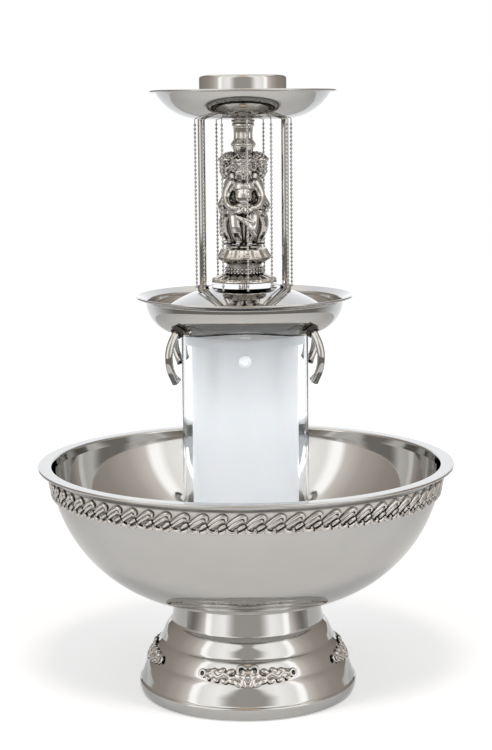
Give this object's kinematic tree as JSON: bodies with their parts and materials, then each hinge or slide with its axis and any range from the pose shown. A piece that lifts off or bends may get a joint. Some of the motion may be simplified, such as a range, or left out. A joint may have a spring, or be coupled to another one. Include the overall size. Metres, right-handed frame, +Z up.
{
  "type": "drinks fountain",
  "caption": "Tabletop drinks fountain: a stepped pedestal with a pump carries a wide bowl, a lit clear column, a spouted tier, a statue between delivery tubes and a capped top tier.",
  "frame": {"origin": "centre of the footprint on the table, under the fountain's axis", "axes": "+Z up along the fountain's axis; the front faces -Y, the switches and the cord gland are at the back (+Y)"},
  "size_m": [0.4852, 0.4852, 0.72],
  "materials": {
    "mirror_steel": "mirror-polished stainless steel",
    "steel": "satin stainless steel",
    "cast_silver": "cast and plated, dark in the recesses",
    "dark_steel": "dark plated steel",
    "clear_acrylic": "clear acrylic",
    "white_plastic": "translucent white plastic",
    "black_plastic": "satin black plastic",
    "green_plastic": "gloss green plastic",
    "red_plastic": "gloss red plastic",
    "rubber": "black rubber",
    "copper": "varnished copper wire",
    "bulb_glass": "frosted glass"
  },
  "bodies": {
    "base": {"pedestal_shell": "mirror_steel", "base_plate": "steel", "base_plate_screws": "steel", "rubber_feet": "rubber", "scroll_1": "cast_silver", "scroll_2": "cast_silver", "scroll_3": "cast_silver", "scroll_4": "cast_silver", "bowl": "mirror_steel", "rope_trim": "cast_silver", "bowl_gasket": "rubber", "bowl_bolts": "steel", "motor_mount": "steel", "shaft_seal": "rubber", "floor_nuts": "steel", "pump_housing": "white_plastic", "pump_cover": "white_plastic", "pump_screws": "steel", "motor_stator": "steel", "motor_windings": "copper", "motor_top_bell": "steel", "motor_bottom_bell": "steel", "motor_bolts": "steel", "pump_switch": "black_plastic", "lamp_switch": "black_plastic", "cord_gland": "black_plastic", "lamp_stem": "steel", "lamp_socket": "white_plastic", "lamp_bulb": "bulb_glass", "column_seat": "white_plastic", "riser_tube": "steel"},
    "drive": {"impeller": "white_plastic", "motor_rotor": "steel", "motor_shaft": "steel"},
    "pump_rocker": {"pump_rocker": "green_plastic"},
    "lamp_rocker": {"lamp_rocker": "red_plastic"},
    "column": {"clear_tube": "clear_acrylic", "diffuser": "white_plastic", "diffuser_spacers": "white_plastic"},
    "tower": {"middle_tier": "mirror_steel", "tier_collar": "white_plastic", "tube_gasket": "white_plastic", "manifold": "steel", "dome_post": "steel", "dome": "mirror_steel", "spout_1": "mirror_steel", "spout_2": "mirror_steel", "spout_3": "mirror_steel", "spout_4": "mirror_steel", "spout_nuts": "dark_steel", "delivery_tube_left": "mirror_steel", "delivery_tube_right": "mirror_steel", "tower_fasteners": "steel", "seat_disc": "clear_acrylic", "statue_foot": "cast_silver", "statue_figures": "cast_silver", "bead_chains": "mirror_steel", "top_tier": "mirror_steel", "cap_post": "steel"},
    "cap": {"spray_cap": "mirror_steel"}
  },
  "joints": [
    {"name": "pump_spin", "type": "hinge", "parent": "base", "child": "drive", "pos_m": [0, 0, 0.06], "axis": [0, 0, 1], "continuous": true},
    {"name": "pump_switch_rock", "type": "hinge", "parent": "base", "child": "pump_rocker", "pos_m": [0.03516, 0.115, 0.02684], "axis": [-0.9563, 0.2924, 0], "range_deg": [0, 20]},
    {"name": "lamp_switch_rock", "type": "hinge", "parent": "base", "child": "lamp_rocker", "pos_m": [-0.03516, 0.115, 0.02684], "axis": [-0.9563, -0.2924, 0], "range_deg": [0, 20]},
    {"name": "column_lift", "type": "slide", "parent": "base", "child": "column", "axis": [0, 0, 1], "range_m": [0, 0.33]},
    {"name": "tower_lift", "type": "slide", "parent": "column", "child": "tower", "axis": [0, 0, 1], "range_m": [0, 0.1]},
    {"name": "cap_lift", "type": "slide", "parent": "tower", "child": "cap", "axis": [0, 0, 1], "range_m": [0, 0.06]}
  ]
}
